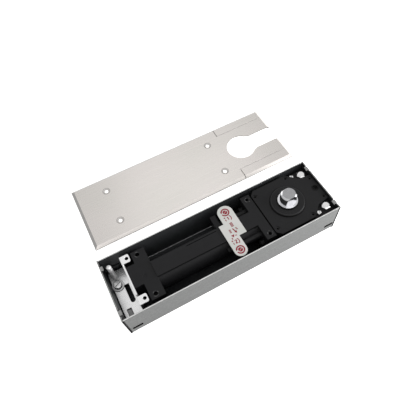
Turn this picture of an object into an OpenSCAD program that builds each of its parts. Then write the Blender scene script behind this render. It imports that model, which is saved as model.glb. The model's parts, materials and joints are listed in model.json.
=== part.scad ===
// Floor spring door closer in its cement box, with its loose cover plate beside it.
// Origin: spindle axis at the underside of the box. +X towards the spindle end, +Z up.

/* [Cement box] */
// Length of the box
box_l = 285; // [283:1:292]
// Width of the box
box_w = 80; // [79:1:84]
// Height of the box
box_h = 49; // [48.5:0.5:52]
// Thickness of the folded sheet
box_sheet = 1.5; // [1.2:0.1:1.8]
// Distance from the spindle axis to the outside of the near end wall
spindle_to_end = 49.3; // [49:0.1:52]
// Length of the anchor slots in the long walls
anchor_slot_l = 12.5; // [10:0.5:14]
// Width of the anchor slots
anchor_slot_w = 5; // [4:0.5:6]

/* [Cover plate] */
// Length of the cover plate
cover_l = 306; // [300:1:310]
// Width of the cover plate
cover_w = 103; // [100:1:106]
// Height of the cover plate's turned-down edge
cover_h = 4; // [3.5:0.5:5]
// Thickness of the cover's sheet
cover_sheet = 1.5; // [1.2:0.1:1.8]
// Width of the bevel round the cover
cover_bevel = 4; // [3:0.5:5]
// Diameter of the keyhole round the spindle
keyhole_d = 41.5; // [38:0.5:44]
// Width of the keyhole's slot
keyhole_slot_w = 25; // [22:0.5:27]
// Gap between the box and the cover that lies behind it
cover_gap = 41.5; // [30:0.5:60]

/* [Screw pattern of box and cover] */
// Distance of the cover screws along the box
screw_dx = 161.5; // [161:0.5:162]
// Distance of the cover screws across the box
screw_dy = 53.8; // [53:0.1:55]
// Distance from the spindle axis to the nearer pair of screws
spindle_to_screws = 42; // [41.5:0.1:42.5]
// Diameter of the cover's screw holes
cover_hole_d = 5.2; // [5:0.1:5.5]
// Diameter of the tapped holes
tapped_d = 4.2; // [4:0.1:4.4]

/* [Closer head] */
// Height of the mechanism's axis above the box's underside
axis_z = 26; // [25.8:0.1:26.2]
// Half width of the head
head_half_w = 34.5; // [34:0.1:35]
// Top of the head cover
head_top = 45.5; // [45.3:0.1:45.8]
// Radius of the collar round the spindle
collar_r = 21.5; // [21:0.5:23]
// Top of the collar
collar_top = 48; // [47.5:0.1:48.2]

/* [Spindle] */
// Top of the spindle
spindle_top = 64; // [62:0.5:68]
// Width across the spindle's flats
spindle_flats = 15; // [14.4:0.1:16]
// Radius of the spindle's upper block
spindle_r = 10.6; // [10.4:0.1:11.6]
// Radius of the spindle's shoulder ring
shoulder_r = 12.4; // [12:0.1:13.4]

/* [Cam drive] */
// Roller centre to spindle axis with the door closed
pitch_r0 = 15; // [15:0.1:15.2]
// Roller travel for each radian that the spindle turns
cam_rise = 4.4; // [4.3:0.05:4.4]
// Radius of the two rollers
roller_r = 5; // [4.9:0.05:5]
// Clearance between cam and rollers
cam_gap = 0.2; // [0.1:0.05:0.3]
// Thickness of the cam
cam_t = 9; // [8.8:0.1:9]
// Running clearance on radius
running = 0.05; // [0.03:0.01:0.08]

/* [Neck and spring] */
// Outer radius of the neck
neck_r = 19; // [18.5:0.1:19]
// Radius of the neck's bore
bore_r = 15.3; // [15.2:0.1:15.5]
// Radius of the spring's wire
wire_r = 2.3; // [2:0.1:2.4]
// Turns of the spring
spring_turns = 11; // [9:1:13]

/* [Tail bracket] */
// Thickness of the bracket's sheet
bracket_t = 2; // [1.8:0.1:2.2]
// Underside of the bracket's base
bracket_base_z = 13.5; // [12:0.5:16]
// Top of the bracket's ears
ear_top = 47; // [46.5:0.1:47.5]

/* [Setting card] */
// Thickness of the card
card_t = 0.6; // [0.5:0.1:0.8]

/* [Hidden] */
$fn = 64;
eps = 0.01;

// Box
x_right = spindle_to_end;
x_left = x_right - box_l;
half_w = box_w / 2;
inner_w = half_w - box_sheet;
inner_bend = 1;
end_t = 1.5;
slot_inset = 3.5;
anchor_slot_z = 13;
wing_l = 19;
wing_h = 22;
tab_l = 2.4;
tab_w = 6;
tab_y = [28, -30];

// Cover
cover_x0 = -236;
cover_y0 = half_w + cover_gap;
cover_yc = cover_y0 + cover_w / 2;
cover_shift = 12.5;
cover_lip = 1.2;
sink_land = 0.3;
sink_r = 5;
slit_w = 0.8;
slit_x = -9;
slit_to_centre = 35;
score_w = 0.6;
score_d = 0.4;

// Screw pattern
screw_x = [-spindle_to_screws, -spindle_to_screws - screw_dx];
screw_y = screw_dy / 2;

// Head
head_x0 = -34.5;
head_x1 = 47;
head_z0 = 7;
lug_top = 39.5;
cover_t = 3.5;
gasket_t = 0.5;
housing_top = head_top - cover_t - gasket_t;
corner = 5.5;
pocket = [[18, head_half_w], [31, 21.8], [head_x1, 19.3]];
chamber_z0 = head_z0 + 4;
chamber_r = 26;
chamber_x = [-31.5, 38.5];
chamber_half_w = 16.5;
yoke_hole_r = 12;
hex_x = 38.6;
hex_y = 26.6;
side_screw = [26.5, 30.2];
side_screw_r = 2.6;
plug_x = 41;
plug_r = 3.5;
plug_deep = 1.6;
head_screws = [[-30.5, 25.7], [17, 30.2], [43.6, 15]];
head_screw_sink = [2.9, 2.2];

// Spindle and its bearings
journal_r = 10;
cam_seat_r = 7.5;
foot_r = 7;
plate_t = 3.5;
plate_gap = 0.5;
cam_z0 = axis_z - cam_t / 2;
cam_z1 = axis_z + cam_t / 2;
plate_z = [cam_z0 - plate_gap - plate_t, cam_z1 + plate_gap];
hub_z0 = plate_z[1] + plate_t + 0.5;
hub_r = 19;
bush_r = 14;
foot_bush_r = 11;
foot_boss_z = 15;
foot_z = head_z0 + 2.2;
foot_floor_z = foot_z - 1.2;
seal_r = 13.8;
key_w = 4;

// Carriage
return_x = pitch_r0 + cam_rise * PI;
closed_x = -pitch_r0;
rail_half_w = 15;
pin_r = 2;
yoke_x = [-30, -21];
yoke_w = 14;
rod_r = 5;
yoke_pin_x = (yoke_x[0] + yoke_x[1]) / 2;
yoke_pin_y = 4;
yoke_pin_r = 1.25;
cam_travel = cam_rise * 130 * PI / 180;

// Neck, from the head towards the tail
gasket_x = -36.5;
flange_x = -48.6;
flange_half_w = 32.5;
flange_top = 46;
bore_x0 = -46;
neck_x1 = -180.6;
pad_half_w = 10.3;
pad_z = 46;
pad_low = [-96, -70];
pad_low_z = 44.8;
pad_groove = [-136, -96];
pad_groove_y = [6.8, 7.8];
pad_groove_d = 0.6;
ridge_y = 17.7;
ridge_z = 35.5;
ridge_r = 4;
ridge_x1 = -94;
rib = [[-93, -86], [0, 30], [axis_z, 41]];
valve_pos = [[-74.4, 23.7], [-82.8, -28.2]];
valve_boss_r = 6.5;
valve_r = 3;
valve_sink = [4.5, 4];
valve_depth = 18;
valve_head_z = 45;
flange_bolt_y = 26.2;
flange_bolt_z = [13, 28];
flange_bolt_r = 2.5;
flange_bolt_head = [4.2, 5];
tapped_depth = 12;

// Piston and spring
piston_x = [-63, -50];
piston_r = bore_r - running;
piston_groove = [piston_x[0] + 4, piston_x[0] + 7];
piston_groove_r = piston_r - 2;
nut_h = 5;
seat_x = [-172, -168];
coil_r = bore_r - wire_r - 0.6;
spring_x0 = piston_x[0] - wire_r - 0.1;
spring_x1 = seat_x[1] + wire_r + 0.1;
spring_steps = 16;
wire_sides = 8;

// Tail foot
foot_x = [-197.8, neck_x1];
foot_top = 44;
plug_x1 = -176;
cap_groove = [-179.6, -177.4];
cap_groove_r = bore_r - 1.8;
dimple = [-193, -2];
tail_screw_y = [-3, 11];
tail_screw_z = axis_z + 6;
tail_screw_r = 2;
tail_screw_len = [1.6, 7];
tongue_x = -209.2;
tongue_y = [-10, 18];
level_x = -190.8;
level_y = 27;
level_r = 2.5;
level_deep = 6;

// Tail bracket
upright_x = tongue_x - bracket_t;
bracket_x0 = -232.9;
bracket_half_w = 35;
ear_l = 9.2;
ear_w = 10.4;
ear_corner = 2;
slot_x = [-220.4, -214.6];
slot_half_l = 12.4;
window_x = [-229, -223];
window_y = [-28, -17];
window_gap = 0.7;
window_drop = 1.4;
clamp = [-226.6, 15.1];
stud = [-226, 27.5];
stud_r = 3;
stud_top = 47;
washer_r = 7.4;
washer_t = 1.5;
clamp_head_r = 5.2;
clamp_head_h = 3;
clamp_r = 3;
nut_af = 10;
weld_nut_h = head_z0 - box_sheet;

// Setting card
card_a = [-84.2, -64.6];
card_a_y = [-11.2, 33.5];
card_b = [-90.8, -74.7];
card_b_y = [-36.3, 10.4];

// ---- helpers ----

// A block given by its three ranges
module block(x, y, z) {
    translate([x[0], y[0], z[0]]) cube([x[1] - x[0], y[1] - y[0], z[1] - z[0]]);
}

// An upright cylinder between two heights
module post(p, r, z, fn = 64) {
    translate([p[0], p[1], z[0]]) cylinder(r = r, h = z[1] - z[0], $fn = fn);
}

// A cylinder along X between two places, on the mechanism's axis unless moved
module along_x(x, r, y = 0, z = axis_z, fn = 64) {
    translate([x[0], y, z]) rotate([0, 90, 0]) cylinder(r = r, h = x[1] - x[0], $fn = fn);
}

// Turns an outline in Y and Z into a length along X
module profile_x(x) {
    translate([x[0], 0, 0]) rotate([90, 0, 90]) linear_extrude(x[1] - x[0]) children();
}

// Radius of a hexagon's corners from its width across flats
function hex_r(af) = af / sqrt(3);

// A cylinder with a slot across its top end
module slotted(p, r, z, slot = 1, deep = 1.4, turn = 0) {
    difference() {
        post(p, r, z);
        translate([p[0], p[1], z[1]]) rotate(turn) cube([3 * r, slot, 2 * deep], center = true);
    }
}

// ---- cement box ----

// A square trough as deep as h with two rounded lower corners
module trough(half, z, h, bend) {
    translate([-half, z + bend]) square([2 * half, h - bend]);
    translate([-half + bend, z]) square([2 * (half - bend), bend]);
    for (s = [-1, 1]) translate([s * (half - bend), z + bend]) circle(bend);
}

// U section of the channel, folded round the inner bend
module channel_section() {
    difference() {
        trough(half_w, 0, box_h, inner_bend + box_sheet);
        trough(inner_w, box_sheet, box_h, inner_bend);
    }
}

module anchor_slots() {
    for (x = [x_left + slot_inset + end_t, x_right - slot_inset - anchor_slot_l])
        translate([x, -half_w - 1, anchor_slot_z - anchor_slot_w / 2])
            cube([anchor_slot_l, box_w + 2, anchor_slot_w]);
}

module box_channel() {
    color("silver") difference() {
        profile_x([x_left + end_t, x_right - end_t]) channel_section();
        anchor_slots();
    }
}

// An end wall for the end at x = 0, its outside towards -X
module end_wall() {
    difference() {
        union() {
            cube_from_wall = [end_t, box_w, box_h];
            translate([0, -half_w, 0]) cube(cube_from_wall);
            // wings inside the channel, each with a lug in its anchor slot
            for (s = [-1, 1]) {
                translate([end_t, s > 0 ? inner_w - end_t : -inner_w, box_sheet + inner_bend])
                    cube([wing_l, end_t, wing_h - inner_bend]);
                translate([slot_inset + end_t + 0.3, s > 0 ? inner_w : -half_w + 0.2,
                           anchor_slot_z - anchor_slot_w / 2 + 0.3])
                    cube([anchor_slot_l * 0.4, box_sheet - 0.2, anchor_slot_w - 0.6]);
            }
            // two tabs bent inwards at the top edge
            for (y = tab_y) translate([end_t, y - tab_w / 2, box_h - end_t]) cube([tab_l, tab_w, end_t]);
        }
        // relief notches beside the tabs
        for (y = tab_y, s = [-1, 1])
            translate([-1, y + s * (tab_w / 2 + 0.6) - 0.6, box_h - 2.5]) cube([end_t + 2, 1.2, 4]);
    }
}

module end_wall_left() {
    color("dimgray") translate([x_left, 0, 0]) end_wall();
}

module end_wall_right() {
    color("dimgray") translate([x_right, 0, 0]) mirror([1, 0, 0]) end_wall();
}

module box_weld_nuts() {
    places = [[hex_x, hex_y, 2.5], [hex_x, -hex_y, 2.5], [clamp[0], clamp[1], clamp_r]];
    color("silver") for (p = places) difference() {
        post(p, hex_r(nut_af), [box_sheet, box_sheet + weld_nut_h], 6);
        post(p, p[2], [0, head_z0 + 1]);
    }
}

// ---- cover plate ----

// A plate with its four upper edges bevelled
module bevelled_plate(l, w, h, bevel, drop) {
    tilt = atan(drop / bevel);
    difference() {
        translate([-l / 2, -w / 2, 0]) cube([l, w, h]);
        for (s = [-1, 1]) {
            translate([s * l / 2, 0, h - drop]) rotate([0, s * tilt, 0])
                translate([s > 0 ? -2 * bevel : -bevel, -w, 0]) cube([3 * bevel, 2 * w, 3 * h]);
            translate([0, s * w / 2, h - drop]) rotate([-s * tilt, 0, 0])
                translate([-l, s > 0 ? -2 * bevel : -bevel, 0]) cube([2 * l, 3 * bevel, 3 * h]);
        }
    }
}

module keyhole() {
    chamfer = [4, 2.4];
    r = keyhole_d / 2;
    half = keyhole_slot_w / 2;
    // the chamfers run from the circle to the slot's sides
    wide = half + chamfer[1];
    on_circle = [sqrt(r * r - wide * wide), wide];
    on_slot = [sqrt(r * r - half * half) + chamfer[0], half];
    translate([cover_shift, cover_yc, -1]) {
        cylinder(d = keyhole_d, h = cover_h + 2);
        linear_extrude(cover_h + 2) polygon([
            [0, 0], on_circle, on_slot, [cover_l, half],
            [cover_l, -half], [on_slot[0], -half], [on_circle[0], -on_circle[1]]
        ]);
    }
}

module cover_plate() {
    color("gainsboro") difference() {
        translate([cover_x0 + cover_l / 2, cover_yc, 0]) difference() {
            bevelled_plate(cover_l, cover_w, cover_h, cover_bevel, cover_h - cover_lip);
            translate([0, 0, -cover_sheet])
                bevelled_plate(cover_l - 2 * cover_sheet, cover_w - 2 * cover_sheet, cover_h,
                               cover_bevel, cover_h - cover_lip);
        }
        keyhole();
        for (x = screw_x, s = [-1, 1]) translate([x + cover_shift, cover_yc + s * screw_y, 0]) {
            cylinder(d = cover_hole_d, h = cover_h + 1);
            translate([0, 0, cover_h - cover_sheet + sink_land])
                cylinder(r1 = cover_hole_d / 2, r2 = sink_r, h = cover_sheet - sink_land + eps);
        }
        for (s = [-1, 1]) {
            // slit from each long edge inwards
            translate([slit_x - slit_w / 2, s > 0 ? cover_yc + slit_to_centre : cover_y0 - 1, -1])
                cube([slit_w, cover_w / 2 - slit_to_centre + 1, cover_h + 2]);
            // score line from the slit to the spindle end
            translate([slit_x, cover_yc + s * slit_to_centre - score_w / 2, cover_h - score_d])
                cube([cover_x0 + cover_l - slit_x - cover_bevel, score_w, 1]);
        }
    }
}

// ---- closer head ----

// Outline of the head's top: chamfered corners at the neck, pockets at the end
module head_outline() {
    half = [
        [head_x0, head_half_w - corner], [head_x0 + corner, head_half_w],
        pocket[0], pocket[1], pocket[2]
    ];
    polygon(concat(half, [for (i = [4:-1:0]) [half[i][0], -half[i][1]]]));
}

// Outline of the head with its lugs
module lug_outline() {
    polygon([
        [head_x0, head_half_w - corner], [head_x0 + corner, head_half_w],
        [head_x1, head_half_w], [head_x1, -head_half_w],
        [head_x0 + corner, -head_half_w], [head_x0, -head_half_w + corner]
    ]);
}

module head_housing() {
    color([0.14, 0.14, 0.15]) difference() {
        union() {
            translate([0, 0, head_z0]) linear_extrude(lug_top - head_z0) lug_outline();
            translate([0, 0, lug_top - eps]) linear_extrude(housing_top - lug_top + eps) head_outline();
        }
        difference() {
            union() {
                post([0, 0], chamber_r, [chamber_z0, housing_top + 1]);
                block(chamber_x, [-chamber_half_w, chamber_half_w], [chamber_z0, housing_top + 1]);
            }
            post([0, 0], foot_bush_r + 3, [chamber_z0 - 1, foot_boss_z]);
        }
        post([0, 0], foot_bush_r, [foot_floor_z, foot_boss_z + 1]);
        along_x([head_x0 - 1, chamber_x[0] + 3], yoke_hole_r);
        for (s = [-1, 1]) {
            post([hex_x, s * hex_y], 3, [0, lug_top + 1]);
            post([side_screw[0], s * side_screw[1]], 2, [lug_top - 12, lug_top + 1]);
            for (p = head_screws) post([p[0], s * p[1]], 1.5, [housing_top - 9, housing_top + 1]);
            for (z = flange_bolt_z)
                along_x([head_x0 - 1, head_x0 + 6], flange_bolt_r, s * flange_bolt_y, z);
        }
    }
}

module cover_gasket() {
    color("darkslategray") difference() {
        translate([0, 0, housing_top]) linear_extrude(gasket_t) head_outline();
        post([0, 0], chamber_r, [0, head_top]);
        block(chamber_x, [-chamber_half_w, chamber_half_w], [0, head_top]);
        for (p = head_screws, s = [-1, 1]) post([p[0], s * p[1]], 1.6, [0, head_top]);
    }
}

module head_cover() {
    rim = 1;
    color([0.16, 0.16, 0.17]) difference() {
        union() {
            translate([0, 0, housing_top + gasket_t]) linear_extrude(cover_t) head_outline();
            post([0, 0], hub_r, [hub_z0, head_top]);
            post([0, 0], collar_r, [head_top - eps, collar_top - rim]);
            translate([0, 0, collar_top - rim]) cylinder(r1 = collar_r, r2 = collar_r - rim, h = rim);
        }
        post([0, 0], bush_r, [hub_z0 - 1, head_top - 3]);
        post([0, 0], seal_r + 0.2, [head_top - 3 - eps, collar_top + 1]);
        for (p = head_screws, s = [-1, 1]) translate([p[0], s * p[1], 0]) {
            post([0, 0], 1.6, [0, head_top + 1]);
            post([0, 0], head_screw_sink[0], [head_top - head_screw_sink[1], head_top + 1]);
        }
        post([plug_x, 0], plug_r, [head_top - cover_t - 1, head_top + 1]);
    }
}

module head_cover_screws() {
    z = head_top - head_screw_sink[1];
    color([0.1, 0.1, 0.1]) for (p = head_screws, s = [-1, 1]) difference() {
        union() {
            post([p[0], s * p[1]], 1.5, [z - 7, z + eps]);
            post([p[0], s * p[1]], 2.7, [z, z + 1.4]);
        }
        post([p[0], s * p[1]], hex_r(2.5), [z + 0.4, z + 2], 6);
    }
}

module filler_plug() {
    color([0.1, 0.1, 0.1]) difference() {
        post([plug_x, 0], plug_r, [head_top - cover_t, head_top - plug_deep]);
        post([plug_x, 0], hex_r(4), [head_top - plug_deep - 1.2, head_top + 1], 6);
    }
}

// ---- spindle, bearings and cam ----

module spindle() {
    flat_z = collar_top + 3.5;
    chamfer_h = 2.2;
    top_r = 7.9;
    color("silver") difference() {
        union() {
            post([0, 0], foot_r, [foot_z, cam_z0]);
            post([0, 0], cam_seat_r, [cam_z0 - eps, cam_z1]);
            post([0, 0], journal_r, [cam_z1 - eps, head_top + 0.5]);
            post([0, 0], shoulder_r, [head_top + 0.5, collar_top + 2]);
            post([0, 0], spindle_r, [collar_top + 2 - eps, flat_z]);
            // block with two flats, chamfered at the top
            intersection() {
                union() {
                    translate([0, 0, flat_z - eps]) cylinder(r1 = spindle_r, r2 = spindle_r - 1,
                                                             h = spindle_top - chamfer_h - flat_z + eps);
                    translate([0, 0, spindle_top - chamfer_h])
                        cylinder(r1 = spindle_r - 1, r2 = top_r, h = chamfer_h);
                }
                block([-spindle_r, spindle_r], [-spindle_flats / 2, spindle_flats / 2], [0, spindle_top]);
            }
        }
        translate([cam_seat_r - key_w / 2, -key_w / 2, cam_z0 - 1]) cube([key_w, key_w, cam_t + 1]);
    }
}

module cam_key() {
    color("darkgray") translate([cam_seat_r - key_w / 2, -key_w / 2, cam_z0]) cube([key_w, key_w, cam_t]);
}

// Radius of the roller centre's path at an angle in degrees from the dent
function pitch_r(a) = pitch_r0 + cam_rise * a * PI / 180;

// A point of the cam's flank: the roller centre, moved inwards along the path's
// normal by the roller's radius and the clearance
function flank(a) =
    let (r = pitch_r(a), n = sqrt(r * r + cam_rise * cam_rise), s = roller_r + cam_gap,
         out = r - s * r / n, side = s * cam_rise / n)
    [out * cos(a) - side * sin(a), out * sin(a) + side * cos(a)];

// Heart cam: two equal spiral flanks and a round dent in which the roller rests,
// so the door is pushed to its middle from both sides
module heart_outline() {
    step = 3;
    dent = atan(cam_rise / pitch_r0);
    upper = [for (a = [0:step:180]) let (p = flank(a)) if (p[1] > 0) p];
    n = len(upper);
    lower = [for (i = [n - 1:-1:0]) [upper[i][0], -upper[i][1]]];
    seat = [for (f = [0.75, 0.5, 0.25, 0, -0.25, -0.5, -0.75])
        [pitch_r0 - (roller_r + cam_gap) * cos(f * dent), -(roller_r + cam_gap) * sin(f * dent)]];
    polygon(concat(upper, lower, seat));
}

module heart_cam() {
    color("dimgray") difference() {
        translate([0, 0, cam_z0]) linear_extrude(cam_t) rotate(180) heart_outline();
        post([0, 0], cam_seat_r, [cam_z0 - 1, cam_z1 + 1]);
        translate([cam_seat_r - key_w / 2, -key_w / 2, cam_z0 - 1]) cube([key_w, key_w, cam_t + 2]);
    }
}

module upper_bearing() {
    color("goldenrod") difference() {
        post([0, 0], bush_r, [hub_z0, head_top - 4]);
        post([0, 0], journal_r + running, [0, head_top]);
    }
}

module lower_bearing() {
    color("goldenrod") difference() {
        post([0, 0], foot_bush_r, [foot_floor_z, foot_boss_z]);
        post([0, 0], foot_r + running, [foot_z - 0.1, foot_boss_z + 1]);
    }
}

module oil_seal() {
    color("black") difference() {
        post([0, 0], bush_r - 0.2, [head_top - 3.8, head_top]);
        post([0, 0], journal_r + running, [0, head_top + 1]);
    }
}

// ---- carriage ----

// One of the two equal plates that carry the rollers round the spindle
module carriage_plate(z) {
    end_r = 5.5;
    slot_r = journal_r + 0.4;
    difference() {
        union() {
            block([closed_x - 2, return_x - 3], [-rail_half_w, rail_half_w], z);
            block([yoke_x[0], closed_x], [-yoke_w / 2, yoke_w / 2], z);
            block([return_x - 6, return_x], [-end_r - 3, end_r + 3], z);
            post([return_x, 0], end_r, z);
        }
        // room for the spindle over the whole travel
        post([0, 0], slot_r, [0, head_top]);
        post([cam_travel, 0], slot_r, [0, head_top]);
        block([0, cam_travel], [-slot_r, slot_r], [0, head_top]);
        for (x = [closed_x, return_x]) post([x, 0], pin_r, [0, head_top]);
        for (s = [-1, 1]) post([yoke_pin_x, s * yoke_pin_y], yoke_pin_r, [0, head_top]);
    }
}

module carriage_plate_upper() {
    color("slategray") carriage_plate([plate_z[1], plate_z[1] + plate_t]);
}

module carriage_plate_lower() {
    color("slategray") carriage_plate([plate_z[0], plate_z[0] + plate_t]);
}

module crosshead() {
    color("gray") difference() {
        union() {
            block(yoke_x, [-yoke_w / 2, yoke_w / 2], [plate_z[0] + plate_t, plate_z[1]]);
            along_x([piston_x[0] - nut_h, yoke_x[0] + eps], rod_r);
        }
        for (s = [-1, 1]) post([yoke_pin_x, s * yoke_pin_y], yoke_pin_r, [0, head_top]);
    }
}

module crosshead_pins() {
    color("silver") for (s = [-1, 1])
        post([yoke_pin_x, s * yoke_pin_y], yoke_pin_r, [plate_z[0], plate_z[1] + plate_t], 32);
}

module roller(x) {
    difference() {
        post([x, 0], roller_r, [cam_z0 + 0.2, cam_z1 - 0.2]);
        post([x, 0], pin_r + running, [0, head_top]);
    }
}

module closing_roller() {
    color("lightgray") roller(closed_x);
}

module return_roller() {
    color("lightgray") roller(return_x);
}

module roller_pins() {
    color("silver") for (x = [closed_x, return_x])
        post([x, 0], pin_r, [plate_z[0], plate_z[1] + plate_t], 48);
}

module piston() {
    color("lightslategray") difference() {
        along_x(piston_x, piston_r);
        along_x([piston_x[0] - 1, piston_x[1] + 1], rod_r);
        difference() {
            along_x(piston_groove, bore_r + 1);
            along_x([piston_groove[0] - 1, piston_groove[1] + 1], piston_groove_r);
        }
    }
}

module piston_seal() {
    color("black") difference() {
        along_x(piston_groove, piston_r);
        along_x([piston_groove[0] - 1, piston_groove[1] + 1], piston_groove_r);
    }
}

module piston_nut() {
    color("silver") difference() {
        along_x([piston_x[0] - nut_h, piston_x[0]], hex_r(15), fn = 6);
        along_x([piston_x[0] - nut_h - 1, piston_x[0] + 1], rod_r);
    }
}

// ---- spring ----

// Place along the coil after t turns: the first and last turn lie close
function coil_x(t) =
    let (close = 2 * wire_r + 0.2, free = spring_turns - 2,
         pitch = (spring_x0 - spring_x1 - 2 * close) / free)
    t < 1 ? spring_x0 - close * t
    : t > spring_turns - 1 ? spring_x1 + close * (spring_turns - t)
    : spring_x0 - close - pitch * (t - 1);

// The wire as a tube whose rings stand across the coil's turn
module closer_spring() {
    rings = spring_turns * spring_steps;
    points = [for (i = [0:rings], j = [0:wire_sides - 1])
        let (a = 360 * i / spring_steps, b = 360 * j / wire_sides, r = coil_r + wire_r * cos(b))
        [coil_x(i / spring_steps) + wire_r * sin(b), r * cos(a), axis_z + r * sin(a)]];
    sides = [for (i = [0:rings - 1], j = [0:wire_sides - 1])
        let (k = (j + 1) % wire_sides, m = i * wire_sides)
        [m + j, m + wire_sides + j, m + wire_sides + k, m + k]];
    caps = [[for (j = [0:wire_sides - 1]) j],
            [for (j = [wire_sides - 1:-1:0]) rings * wire_sides + j]];
    color("darkgray") polyhedron(points, concat(sides, caps));
}

module spring_seat() {
    color("gray") difference() {
        union() {
            along_x(seat_x, bore_r - 0.3);
            along_x([seat_x[0], seat_x[1] + 5], coil_r - wire_r - 0.6);
        }
        along_x([seat_x[0] - 1, seat_x[1] + 6], 4);
    }
}

// ---- neck ----

module cylinder_body() {
    color([0.15, 0.15, 0.16]) difference() {
        union() {
            along_x([neck_x1, flange_x + eps], neck_r);
            block([neck_x1, flange_x + eps], [-pad_half_w, pad_half_w], [axis_z, pad_low_z]);
            for (x = [[neck_x1, pad_low[0]], [pad_low[1], flange_x + eps]])
                block(x, [-pad_half_w, pad_half_w], [axis_z, pad_z]);
            // T flange at the head
            block([flange_x, gasket_x], [-flange_half_w, flange_half_w], [head_z0 + 1, flange_top]);
            for (s = [-1, 1]) along_x([ridge_x1, flange_x + eps], ridge_r, s * ridge_y, ridge_z);
            for (p = valve_pos) {
                post(p, valve_boss_r, [ridge_z - 12, pad_z]);
                block([p[0] - 4, p[0] + 4], [min(0, p[1]), max(0, p[1])], [ridge_z - 12, ridge_z + 2]);
            }
            block(rib[0], rib[1], rib[2]);
        }
        block(pad_groove, pad_groove_y, [pad_z - pad_groove_d, pad_z + 1]);
        along_x([neck_x1 - 1, bore_x0], bore_r);
        along_x([bore_x0 - 1, gasket_x + 1], yoke_hole_r + 0.5);
        for (p = valve_pos) {
            post(p, valve_r + running, [pad_z - valve_depth, pad_z + 1]);
            post(p, valve_sink[0], [pad_z - valve_sink[1], pad_z + 1]);
        }
        for (s = [-1, 1]) {
            post([screw_x[0], s * screw_y], tapped_d / 2, [flange_top - tapped_depth, flange_top + 1]);
            for (z = flange_bolt_z)
                along_x([flange_x - 1, gasket_x + 1], flange_bolt_r, s * flange_bolt_y, z);
        }
    }
}

module neck_gasket() {
    inset = 1.5;
    color("black") difference() {
        block([gasket_x, head_x0], [-flange_half_w + inset, flange_half_w - inset],
              [head_z0 + 1 + inset, housing_top - inset]);
        along_x([gasket_x - 1, head_x0 + 1], yoke_hole_r + 0.5);
        for (s = [-1, 1], z = flange_bolt_z)
            along_x([gasket_x - 1, head_x0 + 1], flange_bolt_r, s * flange_bolt_y, z);
    }
}

module flange_bolts() {
    color([0.1, 0.1, 0.1])
    for (s = [-1, 1], z = flange_bolt_z) difference() {
        union() {
            along_x([flange_x, head_x0 + 5.5], flange_bolt_r, s * flange_bolt_y, z);
            along_x([flange_x - flange_bolt_head[1], flange_x], flange_bolt_head[0], s * flange_bolt_y, z);
        }
        along_x([flange_x - flange_bolt_head[1] - 1, flange_x - flange_bolt_head[1] / 2], hex_r(4),
                s * flange_bolt_y, z, 6);
    }
}

module valve_screw(p) {
    slotted(p, valve_r, [pad_z - valve_depth + 1, valve_head_z], 1, 1.2, 35);
}

module valve_screw_latch() {
    color("silver") valve_screw(valve_pos[0]);
}

module valve_screw_sweep() {
    color("silver") valve_screw(valve_pos[1]);
}

// ---- tail ----

module end_cap() {
    color([0.15, 0.15, 0.16]) difference() {
        union() {
            along_x([foot_x[1], plug_x1], bore_r);
            block(foot_x, [-flange_half_w, flange_half_w], [head_z0 + 1, foot_top]);
            block([tongue_x, foot_x[0] + eps], tongue_y, [head_z0 + 9, foot_top]);
        }
        difference() {
            along_x(cap_groove, bore_r + 1);
            along_x([cap_groove[0] - 1, cap_groove[1] + 1], cap_groove_r);
        }
        for (s = [-1, 1]) post([level_x, s * level_y], level_r, [0, foot_top + 1]);
        for (y = tail_screw_y)
            along_x([tongue_x - 1, tongue_x + 8], tail_screw_r, y, tail_screw_z);
        post(dimple, 2.6, [foot_top - 0.6, foot_top + 1]);
    }
}

module end_cap_seal() {
    color("black") difference() {
        along_x(cap_groove, bore_r);
        along_x([cap_groove[0] - 1, cap_groove[1] + 1], cap_groove_r);
    }
}

module levelling_screws() {
    color("dimgray") for (s = [-1, 1])
        slotted([level_x, s * level_y], level_r, [box_sheet, foot_top - level_deep], 0.9, 1.4, 20 * s);
}

// A bent-over ear with two rounded corners at its free end
module ear_plate(x0, x1, y) {
    translate([0, 0, ear_top - bracket_t]) linear_extrude(bracket_t) {
        translate([x0, y[0]]) square([x1 - ear_corner - x0, y[1] - y[0]]);
        translate([x0, y[0] + ear_corner]) square([x1 - x0, y[1] - y[0] - 2 * ear_corner]);
        for (v = y) translate([x1 - ear_corner, v + (v == y[0] ? ear_corner : -ear_corner)])
            circle(ear_corner);
    }
}

// The window's own sheet, pressed down but still joined at its outer end
module window_tab(z) {
    color("whitesmoke")
        block([window_x[0] - 1, window_x[1] - window_gap],
              [window_y[0] + window_gap, window_y[1] - window_gap],
              [z[0] - window_drop, z[1] - window_drop]);
}

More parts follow.
